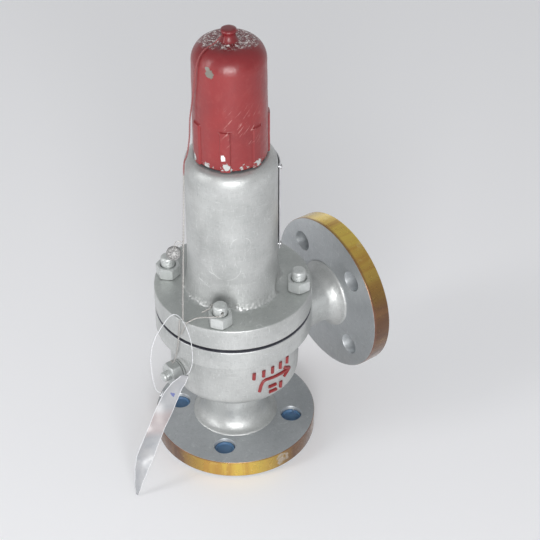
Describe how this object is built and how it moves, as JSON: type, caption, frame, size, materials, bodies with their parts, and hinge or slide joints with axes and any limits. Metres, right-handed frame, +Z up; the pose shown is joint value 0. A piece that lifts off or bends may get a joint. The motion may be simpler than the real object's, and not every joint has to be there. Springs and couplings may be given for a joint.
{
  "type": "pressure relief valve",
  "caption": "Closed spring-loaded angle relief valve: flanged inlet below, flanged outlet at the side, tall bonnet, screwed red cap, sealing wires and tag.",
  "frame": {"origin": "centre of the inlet's raised face, on the spindle's axis; the tag's tip reaches as far along -X as the outlet flange does along +X, so this is also the middle of the box's bottom", "axes": "+Z up along the spindle, +X out of the outlet, +Y to the back of the bowl, away from the side with the flow arrow"},
  "size_m": [0.2366, 0.14, 0.402],
  "materials": {
    "silver_paint": "aluminium paint over a cast surface",
    "red_paint": "glossy red paint, chipped at the foot",
    "turned_steel": "turned stainless steel",
    "spring_steel": "dark oiled spring steel",
    "gasket": "graphite sheet",
    "fastener_silver": "steel painted over with the body",
    "nameplate_metal": "thin rolled plate",
    "seal_wire": "thin twisted wire, red paint on its upper part",
    "lead": "dull pressed lead",
    "nylon": "stiff translucent nylon",
    "tag_sleeve": "paper in a clear plastic sleeve",
    "blue_plastic": "soft blue moulded plastic"
  },
  "bodies": {
    "valve_body": {"body": "silver_paint", "bonnet": "silver_paint", "nozzle": "turned_steel", "guide_sleeve": "turned_steel", "body_gasket": "gasket", "bonnet_gasket": "gasket", "cap_gasket": "gasket", "spring": "spring_steel", "lock_screw_gasket": "gasket", "nameplate": "nameplate_metal", "seal_wire_stud": "seal_wire", "seal_wire_lock_screw": "seal_wire", "bonnet_stud_1": "fastener_silver", "bonnet_stud_2": "fastener_silver", "bonnet_stud_3": "fastener_silver", "bonnet_stud_4": "fastener_silver", "bonnet_nut_1": "fastener_silver", "bonnet_nut_2": "fastener_silver", "bonnet_nut_3": "fastener_silver", "bonnet_nut_4": "fastener_silver", "inlet_plug_1": "blue_plastic", "inlet_plug_2": "blue_plastic", "inlet_plug_3": "blue_plastic", "inlet_plug_4": "blue_plastic", "nameplate_rivet_1": "nameplate_metal", "nameplate_rivet_2": "nameplate_metal", "nameplate_rivet_3": "nameplate_metal", "nameplate_rivet_4": "nameplate_metal"},
    "lifting_parts": {"valve_disc": "turned_steel", "disc_holder": "turned_steel", "stem": "turned_steel", "lower_spring_plate": "turned_steel"},
    "upper_plate": {"upper_spring_plate": "turned_steel"},
    "adjusting_screw": {"adjusting_screw": "turned_steel"},
    "lock_nut": {"adjusting_lock_nut": "turned_steel"},
    "ring": {"adjusting_ring": "turned_steel"},
    "lock_screw": {"lock_screw": "fastener_silver"},
    "cap": {"cap": "red_paint", "seal_wire_cap": "seal_wire", "lead_seal": "lead", "lead_seal_tail": "seal_wire"},
    "tag": {"tag": "tag_sleeve", "tag_loop": "nylon"}
  },
  "joints": [
    {"name": "valve_lift", "type": "slide", "parent": "valve_body", "child": "lifting_parts", "axis": [0, 0, 1], "range_m": [0, 0.0016], "stiffness_N_per_m": 2500, "springref_m": -0.002, "deforming": ["spring"]},
    {"name": "spring_plate_travel", "type": "slide", "parent": "valve_body", "child": "upper_plate", "axis": [0, 0, 1], "range_m": [-0.0015, 0.0015], "deforming": ["spring"]},
    {"name": "adjusting_screw_turn", "type": "hinge", "parent": "upper_plate", "child": "adjusting_screw", "pos_m": [0, 0, 0.31], "axis": [0, 0, 1], "range_deg": [-360, 360]},
    {"name": "lock_nut_turn", "type": "hinge", "parent": "valve_body", "child": "lock_nut", "pos_m": [0, 0, 0.3135], "axis": [0, 0, 1], "range_deg": [0, 180]},
    {"name": "ring_play", "type": "hinge", "parent": "valve_body", "child": "ring", "pos_m": [0, 0, 0.0905], "axis": [0, 0, 1], "range_deg": [-2, 2]},
    {"name": "lock_screw_withdraw", "type": "slide", "parent": "valve_body", "child": "lock_screw", "axis": [-1, 0, 0], "range_m": [0, 0.012]},
    {"name": "cap_lift", "type": "slide", "parent": "valve_body", "child": "cap", "axis": [0, 0, 1], "range_m": [0, 0.12]},
    {"name": "tag_swing", "type": "hinge", "parent": "valve_body", "child": "tag", "pos_m": [-0.065, -0.02, 0.1655], "axis": [-0.2939, 0.9558, 0], "range_deg": [0, 35]}
  ],
  "couplings": [
    {"joint": "adjusting_screw_turn", "follows": "spring_plate_travel", "rad_per_m": -4188.8}
  ]
}
